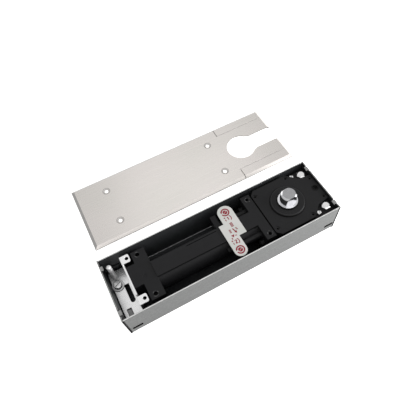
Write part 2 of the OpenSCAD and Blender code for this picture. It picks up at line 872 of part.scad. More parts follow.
module tail_bracket() {
    z = [bracket_base_z, bracket_base_z + bracket_t];
    window_tab(z);
    upright = [upright_x, upright_x + bracket_t];
    color("whitesmoke") difference() {
        union() {
            block([bracket_x0, upright[1]], [-bracket_half_w, bracket_half_w], z);
            block(upright, [-slot_half_l - 6, bracket_half_w - 12], [z[0], ear_top - 2]);
            for (s = [-1, 1]) {
                ear = [s * screw_y - ear_w / 2, s * screw_y + ear_w / 2];
                block(upright, ear, [z[0], ear_top]);
                ear_plate(upright[0], upright[1] + ear_l, ear);
            }
        }
        // adjusting slot beside the upright, with one round end
        block([slot_x[0], slot_x[1]], [-slot_half_l + 2.9, slot_half_l], [0, ear_top]);
        post([(slot_x[0] + slot_x[1]) / 2, -slot_half_l + 2.9], (slot_x[1] - slot_x[0]) / 2, [0, ear_top]);
        block(window_x, window_y, [0, ear_top]);
        post(clamp, clamp_r + 0.3, [0, ear_top]);
        post(stud, stud_r, [0, ear_top]);
        for (s = [-1, 1]) post([screw_x[1], s * screw_y], tapped_d / 2, [ear_top - 5, ear_top + 1]);
        for (y = tail_screw_y) {
            hole_r = tail_screw_r + 0.1;
            along_x([upright[0] - 1, upright[1] + 1], hole_r, y, tail_screw_z);
            translate([upright[0] - eps, y, tail_screw_z]) rotate([0, 90, 0])
                cylinder(r1 = 3.8, r2 = hole_r, h = 3.8 - hole_r);
        }
    }
}

module tail_screws() {
    head_h = tail_screw_len[0];
    color("dimgray") for (y = tail_screw_y) translate([upright_x, y, tail_screw_z]) rotate([0, 90, 0]) {
        cylinder(r1 = tail_screw_r + head_h, r2 = tail_screw_r, h = head_h);
        translate([0, 0, head_h - eps]) cylinder(r = tail_screw_r, h = tail_screw_len[1]);
    }
}

module clamp_bolt() {
    z = bracket_base_z + bracket_t + washer_t;
    color("silver") difference() {
        union() {
            post(clamp, clamp_r, [box_sheet, z + eps]);
            post(clamp, clamp_head_r, [z, z + clamp_head_h - 0.8]);
            translate([clamp[0], clamp[1], z + clamp_head_h - 0.8])
                cylinder(r1 = clamp_head_r, r2 = clamp_head_r - 0.8, h = 0.8);
        }
        translate([clamp[0], clamp[1], z + clamp_head_h]) rotate(25) cube([12, 1.4, 3], center = true);
    }
}

module clamp_washer() {
    z = bracket_base_z + bracket_t;
    color("lightgray") difference() {
        post(clamp, washer_r, [z, z + washer_t]);
        post(clamp, clamp_r + 0.2, [z - 1, z + washer_t + 1]);
    }
}

module levelling_stud() {
    tip = 1.2;
    color("silver") difference() {
        union() {
            post(stud, stud_r, [box_sheet, stud_top - tip]);
            translate([stud[0], stud[1], stud_top - tip]) cylinder(r1 = stud_r, r2 = stud_r - tip, h = tip);
        }
        translate([stud[0], stud[1], stud_top]) cube([8, 0.9, 4], center = true);
    }
}

module hex_bolts() {
    head_z = lug_top;
    head_h = 4.5;
    color("silver") for (s = [-1, 1]) {
        post([hex_x, s * hex_y], hex_r(nut_af), [head_z, head_z + head_h], 6);
        post([hex_x, s * hex_y], 2.5, [box_sheet, head_z + eps]);
    }
}

module side_screws() {
    color("silver") for (s = [-1, 1]) {
        p = [side_screw[0], s * side_screw[1]];
        post(p, 2, [lug_top - 10, lug_top + eps]);
        slotted(p, side_screw_r, [lug_top, lug_top + 2.5], 0.8, 1.2, 60);
    }
}

module setting_label() {
    ra = (card_a[1] - card_a[0]) / 2;
    rb = (card_b[1] - card_b[0]) / 2;
    color("ivory") translate([0, 0, pad_z]) linear_extrude(card_t) {
        translate([card_a[0], card_a_y[0]]) square([2 * ra, card_a_y[1] - ra - card_a_y[0]]);
        translate([card_a[0] + ra, card_a_y[1] - ra]) circle(ra);
        translate([card_b[0], card_b_y[0] + rb]) square([2 * rb, card_b_y[1] - rb - card_b_y[0]]);
        translate([card_b[0] + rb, card_b_y[0] + rb]) circle(rb);
    }
}

box_channel();
end_wall_left();
end_wall_right();
box_weld_nuts();
cover_plate();
head_housing();
cover_gasket();
head_cover();
head_cover_screws();
filler_plug();
upper_bearing();
lower_bearing();
oil_seal();
spindle();
cam_key();
heart_cam();
carriage_plate_upper();
carriage_plate_lower();
crosshead();
crosshead_pins();
closing_roller();
return_roller();
roller_pins();
piston();
piston_seal();
piston_nut();
closer_spring();
spring_seat();
cylinder_body();
neck_gasket();
flange_bolts();
end_cap();
end_cap_seal();
levelling_screws();
valve_screw_latch();
valve_screw_sweep();
hex_bolts();
side_screws();
tail_bracket();
tail_screws();
clamp_bolt();
clamp_washer();
levelling_stud();
setting_label();
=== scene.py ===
import itertools
import json
import math

import bmesh
import bpy
import numpy as np
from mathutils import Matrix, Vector


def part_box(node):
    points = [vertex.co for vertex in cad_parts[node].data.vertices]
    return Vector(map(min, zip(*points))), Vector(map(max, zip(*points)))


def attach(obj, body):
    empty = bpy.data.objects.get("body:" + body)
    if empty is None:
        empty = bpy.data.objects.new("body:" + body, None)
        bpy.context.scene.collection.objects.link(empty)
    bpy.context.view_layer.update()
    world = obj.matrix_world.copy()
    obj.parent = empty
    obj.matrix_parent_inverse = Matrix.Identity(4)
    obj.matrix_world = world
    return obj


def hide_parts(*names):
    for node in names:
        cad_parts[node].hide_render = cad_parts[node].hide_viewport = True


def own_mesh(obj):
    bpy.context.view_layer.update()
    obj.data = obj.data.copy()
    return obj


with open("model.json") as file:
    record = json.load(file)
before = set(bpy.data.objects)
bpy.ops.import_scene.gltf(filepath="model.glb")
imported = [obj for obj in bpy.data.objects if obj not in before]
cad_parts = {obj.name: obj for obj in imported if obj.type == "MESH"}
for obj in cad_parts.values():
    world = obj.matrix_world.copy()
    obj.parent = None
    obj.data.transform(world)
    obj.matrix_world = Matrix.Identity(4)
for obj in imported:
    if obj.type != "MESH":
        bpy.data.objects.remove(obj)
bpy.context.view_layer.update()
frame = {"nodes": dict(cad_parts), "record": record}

mm = 0.001
print("stage: frame loaded,", len(frame["nodes"]), "parts")

studio = {
    "cameraPlace": (-188.51 * mm, -198.47 * mm, 475.16 * mm),
    "cameraTurn": (30.64, 3.014, -28.125),  # degrees about X, Y and Z
    "lens": 34.857,
    "sensor": 36.0,
    "clipStart": 10 * mm,
    "skyTop": 1.0,
    "skyLow": 0.7,
    "skyRise": 0.9,  # the sky is full this high, as a share of straight up
    "floorTint": (0.93, 0.93, 0.925),
    "floorSize": 6.0,
    "floorRough": 0.9,
    "floorShine": 0.1,
    "floorGlow": (0.65, 1.0),  # at the places glowFrom and glowTo along X
    "glowFrom": -250 * mm,
    "glowTo": 100 * mm,
    "slitX": -9 * mm,  # the floor keeps no glow below the cover's slits
    "slitReach": 6 * mm,
    "slitFrom": 34 * mm,
    "slitTo": 50.5 * mm,
    "coverY": 133 * mm,
    "floorDrop": 0.2 * mm,
}

# Area lamps: where each stands, where it points, its two sides and its power
lamps = {
    "keySoft": ((0.2, 0.94, 1.45), (-0.08, 0.08, 0), (0.8, 0.8), 0.72),
    "frontSoft": ((0.1, -0.9, 1.2), (-0.08, 0.08, 0), (1.35, 0.9), 2.9),
    "fillSoft": ((1.0, -0.7, 0.45), (0.02, -0.04, 0.02), (0.6, 0.6), 12),
}


def placeCamera():
    data = bpy.data.cameras.new("mainView")
    data.lens = studio["lens"]
    data.sensor_width = studio["sensor"]
    data.clip_start = studio["clipStart"]
    camera = bpy.data.objects.new("mainView", data)
    camera.location = studio["cameraPlace"]
    camera.rotation_euler = [math.radians(a) for a in studio["cameraTurn"]]
    bpy.context.scene.collection.objects.link(camera)
    bpy.context.scene.camera = camera


def areaLight(name, place, target, size, power):
    data = bpy.data.lights.new(name, "AREA")
    data.shape = "RECTANGLE"
    data.size, data.size_y = size
    data.energy = power
    lamp = bpy.data.objects.new(name, data)
    lamp.location = place
    lamp.rotation_euler = (Vector(target) - Vector(place)).to_track_quat("-Z", "Y").to_euler()
    bpy.context.scene.collection.objects.link(lamp)


def setRange(node, fromLow, fromHigh, toLow, toHigh):
    # The four limits of a Map Range node
    limits = {"From Min": fromLow, "From Max": fromHigh, "To Min": toLow, "To Max": toHigh}
    for socket, value in limits.items():
        node.inputs[socket].default_value = value


def makeSky():
    # Soft white all round, a little darker towards the horizon
    world = bpy.data.worlds.new("softSky")
    bpy.context.scene.world = world
    world.use_nodes = True
    nodes, links = world.node_tree.nodes, world.node_tree.links
    nodes.clear()
    place = nodes.new("ShaderNodeTexCoord")
    split = nodes.new("ShaderNodeSeparateXYZ")
    ramp = nodes.new("ShaderNodeMapRange")
    sky = nodes.new("ShaderNodeBackground")
    out = nodes.new("ShaderNodeOutputWorld")
    setRange(ramp, 0, studio["skyRise"], studio["skyLow"], studio["skyTop"])
    links.new(place.outputs["Generated"], split.inputs[0])
    links.new(split.outputs["Z"], ramp.inputs["Value"])
    links.new(ramp.outputs["Result"], sky.inputs["Strength"])
    links.new(sky.outputs[0], out.inputs[0])


def nodeMath(tree, operation, first, second, third=0.0):
    # A Math node on numbers or on other nodes' outputs
    node = tree.nodes.new("ShaderNodeMath")
    node.operation = operation
    for socket, value in zip(node.inputs, (first, second, third)):
        if isinstance(value, (int, float)):
            socket.default_value = value
        else:
            tree.links.new(value, socket)
    return node.outputs[0]


def makeFloor():
    half = studio["floorSize"] / 2
    mesh = bpy.data.meshes.new("floor")
    mesh.from_pydata([(-half, -half, 0), (half, -half, 0), (half, half, 0), (-half, half, 0)],
                     [], [(0, 1, 2, 3)])
    floor = bpy.data.objects.new("floor", mesh)
    floor.location.z = -studio["floorDrop"]
    bpy.context.scene.collection.objects.link(floor)
    paper = bpy.data.materials.new("floorPaper")
    paper.use_nodes = True
    tree = paper.node_tree
    shader = tree.nodes["Principled BSDF"]
    shader.inputs["Base Color"].default_value = (*studio["floorTint"], 1)
    shader.inputs["Roughness"].default_value = studio["floorRough"]
    shader.inputs["Specular IOR Level"].default_value = studio["floorShine"]
    shader.inputs["Emission Color"].default_value = (1, 1, 1, 1)
    # the glow stops in two small patches below the cover's slits, so that these stay dark
    place = tree.nodes.new("ShaderNodeTexCoord")
    split = tree.nodes.new("ShaderNodeSeparateXYZ")
    tree.links.new(place.outputs["Object"], split.inputs[0])
    middle = (studio["slitFrom"] + studio["slitTo"]) / 2
    reach = (studio["slitTo"] - studio["slitFrom"]) / 2
    fromCentre = nodeMath(tree, "SUBTRACT", split.outputs["Y"], studio["coverY"])
    away = nodeMath(tree, "ABSOLUTE", fromCentre, 0)
    under = nodeMath(tree, "MULTIPLY",
                     nodeMath(tree, "COMPARE", split.outputs["X"], studio["slitX"], studio["slitReach"]),
                     nodeMath(tree, "COMPARE", away, middle, reach))
    bare = nodeMath(tree, "SUBTRACT", 1, under)
    # the glow rises towards the box's right end
    glow = tree.nodes.new("ShaderNodeMapRange")
    setRange(glow, studio["glowFrom"], studio["glowTo"], *studio["floorGlow"])
    tree.links.new(split.outputs["X"], glow.inputs["Value"])
    strength = nodeMath(tree, "MULTIPLY", bare, glow.outputs["Result"])
    tree.links.new(strength, shader.inputs["Emission Strength"])
    mesh.materials.append(paper)


placeCamera()
makeSky()
makeFloor()
for name, settings in lamps.items():
    areaLight(name, *settings)
bpy.context.scene.view_settings.view_transform = "Standard"
print("stage: camera, sky, floor and lamps")


def meshPoints(mesh):
    points = np.zeros(len(mesh.vertices) * 3)
    mesh.vertices.foreach_get("co", points)
    return points.reshape(-1, 3)


def solidBoxes(node):
    # Low and high corner of each separate solid of a part: the lowest label spreads
    # over each triangle until nothing changes
    mesh = frame["nodes"][node].data
    points = meshPoints(mesh)
    corners = np.zeros(len(mesh.loops), int)
    mesh.loops.foreach_get("vertex_index", corners)
    _, place = np.unique(np.round(points, 6), axis=0, return_inverse=True)
    triangles = place.ravel()[corners].reshape(-1, 3)
    label = np.arange(place.max() + 1)
    while True:
        before = label.copy()
        lowest = label[triangles].min(axis=1)
        np.minimum.at(label, triangles.ravel(), np.repeat(lowest, 3))
        if (before == label).all():
            break
    owner = label[place.ravel()]
    boxes = [(points[owner == k].min(axis=0), points[owner == k].max(axis=0)) for k in np.unique(owner)]
    return sorted(boxes, key=lambda box: tuple(np.round(box[0] + box[1], 5)))


def solidCentres(node):
    return [tuple((low + high)[:2] / 2) for low, high in solidBoxes(node)]


def patternPlaces(name):
    # The four holes of a bolt pattern of the record
    mount = next(m for m in frame["record"]["mounts"] if m["name"] == name)
    x, y = mount["pos_m"][:2]
    halfX, halfY = [mount["dims"][key] / 2 * mm for key in ("spacing_x_mm", "spacing_y_mm")]
    return [(x + a * halfX, y + b * halfY) for a in (-1, 1) for b in (-1, 1)]


class Recipe:
    # A node material built step by step on Object coordinates

    def __init__(self, name, colour, metallic=0.0, roughness=0.5, specular=0.5):
        self.material = bpy.data.materials.new(name)
        self.material.use_nodes = True
        tree = self.material.node_tree
        self.nodes, self.links = tree.nodes, tree.links
        self.shader = self.nodes["Principled BSDF"]
        self.shader.inputs["Base Color"].default_value = (*colour, 1)
        self.shader.inputs["Metallic"].default_value = metallic
        self.shader.inputs["Roughness"].default_value = roughness
        self.shader.inputs["Specular IOR Level"].default_value = specular
        self.place = self.nodes.new("ShaderNodeTexCoord").outputs["Object"]
        self.normal = None

    def noise(self, perMetre, detail=3.0, rough=0.55):
        # Noise with its own count of waves to the metre along each axis
        mapping = self.nodes.new("ShaderNodeMapping")
        mapping.inputs["Scale"].default_value = perMetre
        texture = self.nodes.new("ShaderNodeTexNoise")
        texture.inputs["Scale"].default_value = 1.0
        texture.inputs["Detail"].default_value = detail
        texture.inputs["Roughness"].default_value = rough
        self.links.new(self.place, mapping.inputs["Vector"])
        self.links.new(mapping.outputs[0], texture.inputs["Vector"])
        return texture.outputs["Fac"]

    def spread(self, value, low, high, fromLow=0.3, fromHigh=0.7):
        # Maps a value between two limits onto another range
        node = self.nodes.new("ShaderNodeMapRange")
        setRange(node, fromLow, fromHigh, low, high)
        self.links.new(value, node.inputs["Value"])
        return node.outputs["Result"]

    def mixColours(self, factor, first, second):
        node = self.nodes.new("ShaderNodeMix")
        node.data_type = "RGBA"
        self.links.new(factor, node.inputs["Factor"])
        colourInputs = [socket for socket in node.inputs if socket.type == "RGBA"]
        for socket, colour in zip(colourInputs, (first, second)):
            if isinstance(colour, tuple):
                socket.default_value = (*colour, 1)
            else:
                self.links.new(colour, socket)
        return [socket for socket in node.outputs if socket.type == "RGBA"][0]

    def bump(self, height, strength, distance):
        node = self.nodes.new("ShaderNodeBump")
        node.inputs["Strength"].default_value = strength
        node.inputs["Distance"].default_value = distance
        self.links.new(height, node.inputs["Height"])
        if self.normal:
            self.links.new(self.normal, node.inputs["Normal"])
        self.normal = node.outputs["Normal"]
        self.links.new(self.normal, self.shader.inputs["Normal"])

    def edges(self, radius):
        # 1 on a sharp edge and 0 on a plain face, from the rounded and the plain normal
        rounded = self.nodes.new("ShaderNodeBevel")
        rounded.samples = 4
        rounded.inputs["Radius"].default_value = radius
        plain = self.nodes.new("ShaderNodeNewGeometry")
        dot = self.nodes.new("ShaderNodeVectorMath")
        dot.operation = "DOT_PRODUCT"
        self.links.new(rounded.outputs[0], dot.inputs[0])
        self.links.new(plain.outputs["True Normal"], dot.inputs[1])
        onEdge, onFace = 0.75, 0.99
        return self.spread(dot.outputs["Value"], 1.0, 0.0, onEdge, onFace)

    def math(self, operation, first, second, third=0.0):
        return nodeMath(self.material.node_tree, operation, first, second, third)

    def rings(self, ring):
        # 1 on a thin ring round each place, on faces that look up, for the painted glints, highlights and
        # shadows; a broken ring comes and goes along its way
        total = 0.0
        for x, y in ring["places"]:
            away = self.nodes.new("ShaderNodeVectorMath")
            away.operation = "SUBTRACT"
            away.inputs[1].default_value = (x, y, 0)
            flat = self.nodes.new("ShaderNodeVectorMath")
            flat.operation = "MULTIPLY"
            flat.inputs[1].default_value = (1, 1, 0)
            reach = self.nodes.new("ShaderNodeVectorMath")
            reach.operation = "LENGTH"
            self.links.new(self.place, away.inputs[0])
            self.links.new(away.outputs[0], flat.inputs[0])
            self.links.new(flat.outputs[0], reach.inputs[0])
            near = self.math("COMPARE", reach.outputs["Value"], ring["radius"], ring["width"] / 2)
            total = self.math("MAXIMUM", total, near)
        split = self.nodes.new("ShaderNodeSeparateXYZ")
        facing = self.nodes.new("ShaderNodeNewGeometry")
        self.links.new(facing.outputs["True Normal"], split.inputs[0])
        total = self.math("MULTIPLY", total, self.math("GREATER_THAN", split.outputs["Z"], 0.5))
        if ring.get("broken"):
            # noise breaks a ring into short arcs, so that the painted glints come and go
            ringBreaks = self.spread(self.noise((300, 300, 300), 1), 0, 1, 0.45, 0.6)
            total = self.math("MULTIPLY", total, ringBreaks)
        return total

    def feed(self, socket, value):
        self.links.new(value, self.shader.inputs[socket])


# Rings: painted glints round the screws, painted shadow where an edge falls away, and on the collar's rim a
# lighter line of rubbed paint with a painted highlight
shadeRingBlack = (0.0015, 0.0015, 0.0015)
# painted glints: broken lighter rings round the flange bolts and the levelling screws
holeGlints = {
    "places": solidCentres("flange_bolts") + solidCentres("levelling_screws"),
    "radius": 3.1 * mm,
    "width": 0.7 * mm,
    "colour": (0.1, 0.1, 0.1),
    "broken": True,
}
# painted shadow: a black ring on the plate round the collar's foot
collarFootShadow = {"places": [(0, 0)], "radius": 22 * mm, "width": 1 * mm, "colour": shadeRingBlack}
# a lighter line on the collar's rim: rubbed paint and a painted highlight
collarRimRubAndHighlight = {"places": [(0, 0)], "radius": 20.3 * mm, "width": 0.5 * mm, "colour": (0.03, 0.03, 0.031)}
# painted shadow: a black ring round the filler plug's recess
plugRecessShadow = {"places": solidCentres("filler_plug"), "radius": 4 * mm, "width": 1.6 * mm, "colour": shadeRingBlack}
# painted shade: a dark line round the rim of each countersink in the cover
sinkEdgeShadow = {
    "places": patternPlaces("cover_screw_holes"),
    "radius": 5.1 * mm,
    "width": 0.5 * mm,
    "colour": (0.2, 0.19, 0.18),
}

# Painted shadow: the channel's ends are dark for this width, where they meet the end walls
channelEnds = [corner.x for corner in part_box("box_channel")]
endJointShadow = {"middle": sum(channelEnds) / 2, "width": 1.1 * mm, "colour": (0.01, 0.01, 0.01)}
endJointShadow["reach"] = (channelEnds[1] - channelEnds[0]) / 2 - endJointShadow["width"]


def brushedStainless():
    # Lengthwise brushing in fine lines over broad soft bands
    steel = Recipe("brushedStainless", (0.72, 0.69, 0.66), 1.0, 0.3)
    fine = steel.noise((12, 3200, 3200), 2)
    broad = steel.noise((5, 260, 260), 2)
    clouds = steel.noise((9, 14, 14), 2)
    base = steel.mixColours(steel.spread(clouds, 0, 1), (0.7, 0.675, 0.64), (0.735, 0.695, 0.67))
    # painted shade round the countersinks
    steel.feed("Base Color", steel.mixColours(steel.rings(sinkEdgeShadow), base, sinkEdgeShadow["colour"]))
    steel.feed("Roughness", steel.spread(fine, 0.25, 0.33))
    steel.bump(fine, 0.04, 0.02 * mm)
    steel.bump(broad, 0.01, 0.05 * mm)
    return steel.material


def sheetZinc(name, colour, roughness=0.45, joint=None):
    # Dull rolled sheet: faint crystals and lengthwise rolling lines; a joint is a dark band of painted
    # shadow at both of its ends
    zinc = Recipe(name, colour, 1.0, roughness)
    crystals = zinc.noise((420, 420, 420), 1)
    rolled = zinc.noise((10, 900, 900), 2)
    dark = tuple(0.88 * c for c in colour)
    light = tuple(1.1 * c for c in colour)
    base = zinc.mixColours(zinc.spread(crystals, 0, 1), dark, light)
    if joint:
        # painted shadow: dark bands at the channel's ends
        split = zinc.nodes.new("ShaderNodeSeparateXYZ")
        zinc.links.new(zinc.place, split.inputs[0])
        away = zinc.math("ABSOLUTE", zinc.math("SUBTRACT", split.outputs["X"], joint["middle"]), 0)
        atEnd = zinc.math("GREATER_THAN", away, joint["reach"])
        base = zinc.mixColours(atEnd, base, joint["colour"])
    zinc.feed("Base Color", base)
    zinc.feed("Roughness", zinc.spread(rolled, roughness - 0.05, roughness + 0.08))
    zinc.bump(crystals, 0.06, 0.05 * mm)
    zinc.bump(rolled, 0.05, 0.04 * mm)
    return zinc.material


def brightPlate(name, colour, roughness=0.22, metallic=1.0, clouding=0.82):
    # Bright plated steel with soft clouding and fine scuffs
    plate = Recipe(name, colour, metallic, roughness)
    clouds = plate.noise((160, 160, 160), 3)
    scuffs = plate.noise((900, 900, 900), 2)
    shade = tuple(clouding * c for c in colour)
    plate.feed("Base Color", plate.mixColours(plate.spread(clouds, 0, 1), shade, colour))
    plate.feed("Roughness", plate.spread(scuffs, roughness - 0.03, roughness + 0.05))
    plate.bump(scuffs, 0.05, 0.03 * mm)
    return plate.material


def castPaint(name, colour, edge, rings=()):
    # Satin black paint over a sand casting, thin and greyer on its edges, with rings of another colour
    # round some places: painted glints, highlights and shadows
    paint = Recipe(name, colour, 0.0, 0.5, 0.22)
    grains = paint.noise((1500, 1500, 1500), 3)
    swells = paint.noise((120, 120, 120), 2)
    worn = paint.mixColours(paint.edges(0.5 * mm), colour, edge)
    dustAndRings = paint.mixColours(paint.spread(swells, 0, 0.35), worn, tuple(1.5 * c for c in colour))
    for ring in rings:
        dustAndRings = paint.mixColours(paint.rings(ring), dustAndRings, ring["colour"])
    paint.feed("Base Color", dustAndRings)
    paint.feed("Roughness", paint.spread(grains, 0.42, 0.6))
    paint.bump(swells, 0.12, 0.4 * mm)
    paint.bump(grains, 0.3, 0.06 * mm)
    return paint.material


def shadowPaint():
    # Flat black for joints and recesses that stay in shadow
    paint = Recipe("shadowPaint", (0.0015, 0.0015, 0.0016), 0.0, 0.8, 0.03)
    dust = paint.noise((600, 600, 600), 2)
    paint.feed("Base Color", paint.mixColours(
        paint.spread(dust, 0, 1), (0.001, 0.001, 0.001), (0.003, 0.003, 0.003)))
    paint.feed("Roughness", paint.spread(dust, 0.7, 0.9))
    return paint.material


def turnedSteel(name, colour, roughness=0.2):
    # Machined steel: rings round the upright axis, seen as fine steps of height
    steel = Recipe(name, colour, 1.0, roughness)
    rings = steel.noise((25, 25, 4200), 2)
    smear = steel.noise((220, 220, 220), 2)
    steel.feed("Base Color", steel.mixColours(
        steel.spread(smear, 0, 1), tuple(0.9 * c for c in colour), colour))
    steel.feed("Roughness", steel.spread(rings, roughness - 0.06, roughness + 0.08))
    steel.bump(rings, 0.08, 0.02 * mm)
    return steel.material


def rubber():
    skin = Recipe("sealRubber", (0.012, 0.012, 0.012), 0.0, 0.65, 0.3)
    grain = skin.noise((1100, 1100, 1100), 3)
    skin.feed("Roughness", skin.spread(grain, 0.55, 0.8))
    skin.feed("Base Color", skin.mixColours(
        skin.spread(grain, 0, 1), (0.009, 0.009, 0.009), (0.018, 0.018, 0.018)))
    skin.bump(grain, 0.2, 0.05 * mm)
    return skin.material


def cardPaper():
    # Coated card: faint fibres and a slightly uneven gloss
    card = Recipe("cardPaper", (0.68, 0.68, 0.66), 0.0, 0.55, 0.4)
    fibres = card.noise((700, 1700, 700), 4)
    stains = card.noise((60, 60, 60), 2)
    card.feed("Base Color", card.mixColours(
        card.spread(stains, 0, 1), (0.54, 0.555, 0.525), (0.62, 0.605, 0.59)))
    card.feed("Roughness", card.spread(fibres, 0.45, 0.65))
    card.bump(fibres, 0.08, 0.03 * mm)
    return card.material


def printInk():
    ink = Recipe("printInk", (0.25, 0.02, 0.03), 0.0, 0.5, 0.25)
    patches = ink.noise((900, 900, 900), 3)
    ink.feed("Base Color", ink.mixColours(
        ink.spread(patches, 0, 1), (0.21, 0.018, 0.028), (0.28, 0.03, 0.045)))
    ink.feed("Roughness", ink.spread(patches, 0.4, 0.55))
    return ink.material


finishes = {
    "stainless": brushedStainless(),
    "zincOutside": sheetZinc("zincOutside", (0.164, 0.167, 0.165), 0.5, endJointShadow),
    "zincRim": brightPlate("zincRim", (0.8, 0.8, 0.79), 0.3),
    "zincTab": sheetZinc("zincTab", (0.6, 0.6, 0.59), 0.4),
    "zincEdge": sheetZinc("zincEdge", (0.33, 0.33, 0.325), 0.45),
    "blackInside": castPaint("blackInside", (0.03, 0.032, 0.034), (0.06, 0.06, 0.06)),
    # the end walls' black paint, darker than the channel's inside for painted shade
    "blackEndShaded": castPaint("blackEndShaded", (0.014, 0.015, 0.016), (0.03, 0.03, 0.03)),
    # painted highlight: a light grey line along the channel's inner bend
    "bendHighlight": castPaint("bendHighlight", (0.33, 0.335, 0.34), (0.36, 0.36, 0.36)),
    "castBlack": castPaint("castBlack", (0.0082, 0.0082, 0.009), (0.03, 0.03, 0.032), [holeGlints]),
    "headPaint": castPaint("headPaint", (0.0082, 0.0082, 0.0088), (0.03, 0.03, 0.032),
                           [collarFootShadow, collarRimRubAndHighlight, plugRecessShadow]),
    "castDark": castPaint("castDark", (0.001, 0.001, 0.0012), (0.006, 0.006, 0.007)),
    "shadow": shadowPaint(),
    # painted light: a black a little lighter than the castings', so that screw heads in counterbores don't
    # look shaded
    "blackScrew": castPaint("blackScrew", (0.012, 0.012, 0.0125), (0.03, 0.03, 0.031)),
    "brightZinc": brightPlate("brightZinc", (0.96, 0.96, 0.96)),
    # painted shade: dark walls of the cover's holes and keyhole
    "sinkWallShade": turnedSteel("sinkWallShade", (0.16, 0.155, 0.15), 0.35),
    "coneSteel": turnedSteel("coneSteel", (0.62, 0.6, 0.58), 0.35),
    # painted shade: a dark line along the cover's lip
    "lipShade": turnedSteel("lipShade", (0.1, 0.1, 0.1), 0.4),
    # painted shade: darker bevels at the cover's left and back
    "bevelShade": turnedSteel("bevelShade", (0.45, 0.44, 0.43), 0.35),
    "bracketZinc": brightPlate("bracketZinc", (0.93, 0.93, 0.93), 0.28, 1.0, 0.92),
    "studZinc": brightPlate("studZinc", (0.97, 0.97, 0.97), 0.34, 0.55),
    "washerZinc": brightPlate("washerZinc", (0.7, 0.7, 0.7), 0.3),
    # painted shade: a darker zinc for the bracket's pressed-down tab in its window
    "tabZincShade": brightPlate("tabZincShade", (0.26, 0.26, 0.26), 0.4),
    "spindleSteel": turnedSteel("spindleSteel", (0.78, 0.78, 0.8), 0.14),
    "spindleFace": turnedSteel("spindleFace", (0.42, 0.42, 0.43), 0.2),
    "shadeSteel": turnedSteel("shadeSteel", (0.08, 0.08, 0.08), 0.4),
    "groundSteel": turnedSteel("groundSteel", (0.45, 0.45, 0.46), 0.3),
    "camSteel": turnedSteel("camSteel", (0.3, 0.3, 0.31), 0.35),
    "bronze": turnedSteel("bronze", (0.6, 0.36, 0.14), 0.3),
    "springSteel": brightPlate("springSteel", (0.2, 0.2, 0.21), 0.35),
    "rubber": rubber(),
    "card": cardPaper(),
    "ink": printInk(),
}
print("stage:", len(finishes), "finishes")

bodyOf = {node: body for body, nodes in frame["record"]["behaviour"]["bodies"].items() for node in nodes}


def finishMesh(mesh, sharpAngle):
    # Smooth faces with sharp edges past an angle, and no normals kept from before
    for name in ("custom_normal", "sharp_face"):
        if name in mesh.attributes:
            mesh.attributes.remove(mesh.attributes[name])
    mesh.polygons.foreach_set("use_smooth", np.ones(len(mesh.polygons), bool))
    mesh.set_sharp_from_angle(angle=math.radians(sharpAngle))
    mesh.update()


def addPiece(name, mesh, materials, body, replaced=()):
    piece = bpy.data.objects.new(name, mesh)
    bpy.context.scene.collection.objects.link(piece)
    mesh.materials.clear()
    for material in materials:
        mesh.materials.append(finishes[material])
    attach(piece, body)
    for node in replaced:
        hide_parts(node)
    return piece


# Points closer than this in metres are one point
weld = {"part": 1e-6, "grid": 1e-7, "mark": 1e-8}

softEdge = {
    "sameFace": 0.6,  # degrees between triangles that become one face
    "sharp": 28,  # degrees from which an edge is rounded
    "segments": 2,
    "weight": 100,
}


def softened(node, width, materials, choose=None):
    # A copy of a part with its loose triangles joined into faces and its edges
    # rounded; choose picks a material number from each face's centre and normal
    mesh = frame["nodes"][node].data.copy()
    work = bmesh.new()
    work.from_mesh(mesh)
    bmesh.ops.remove_doubles(work, verts=work.verts, dist=weld["part"])
    bmesh.ops.dissolve_limit(work, angle_limit=math.radians(softEdge["sameFace"]),
                             verts=work.verts, edges=work.edges)
    work.to_mesh(mesh)
    work.free()
    finishMesh(mesh, softEdge["sharp"])
    piece = addPiece(node + "_soft", mesh, materials, bodyOf[node], [node])
    if choose:
        numbers = np.zeros(len(mesh.polygons), int)
        for polygon in mesh.polygons:
            numbers[polygon.index] = choose(polygon.center, polygon.normal)
        mesh.polygons.foreach_set("material_index", numbers)
    roundEdges = piece.modifiers.new("roundEdges", "BEVEL")
    roundEdges.width = width
    roundEdges.segments = softEdge["segments"]
    roundEdges.limit_method = "ANGLE"
    roundEdges.angle_limit = math.radians(softEdge["sharp"])
    roundEdges.use_clamp_overlap = True
    flatFaces = piece.modifiers.new("flatFaces", "WEIGHTED_NORMAL")
    flatFaces.weight = softEdge["weight"]
    flatFaces.keep_sharp = True


# A face looks along an axis when that part of its normal is past the first number, and
# stands across it when it is under the second; past the third it may lie in a bend
tilt = {"along": 0.7, "across": 0.3, "bent": 0.1}
nearTop = 0.1 * mm

boxLow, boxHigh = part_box("box_channel")
boxFinish = {
    "rimDepth": 0.3 * mm,
    "skinDepth": 0.6 * mm,
    "tabDepth": 4 * mm,
    "bendTop": 2.4 * mm,
    "slotLow": 10 * mm,
    "slotHigh": 16 * mm,
    "slotWall": 0.5,
    "endSheet": 1.6 * mm,
}


def channelFinish(centre, normal):
    # 0 outside, 1 inside, 2 the cut rim at the top, 3 the inner bend with a painted highlight line, 4 the
    # anchor slots' walls in painted shadow
    bent = tilt["bent"]
    if centre.z > boxHigh.z - boxFinish["rimDepth"] and normal.z > tilt["along"]:
        return 2
    if (boxFinish["slotLow"] < centre.z < boxFinish["slotHigh"]
            and abs(normal.y) < boxFinish["slotWall"]):
        return 4
    depth, low = boxFinish["skinDepth"], centre.z < boxFinish["bendTop"]
    outside = (centre.y < boxLow.y + depth or centre.y > boxHigh.y - depth
               or centre.z < boxLow.z + depth or low and normal.z < -bent)
    if outside:
        return 0
    return 3 if low and abs(normal.y) > bent and abs(normal.z) > bent else 1


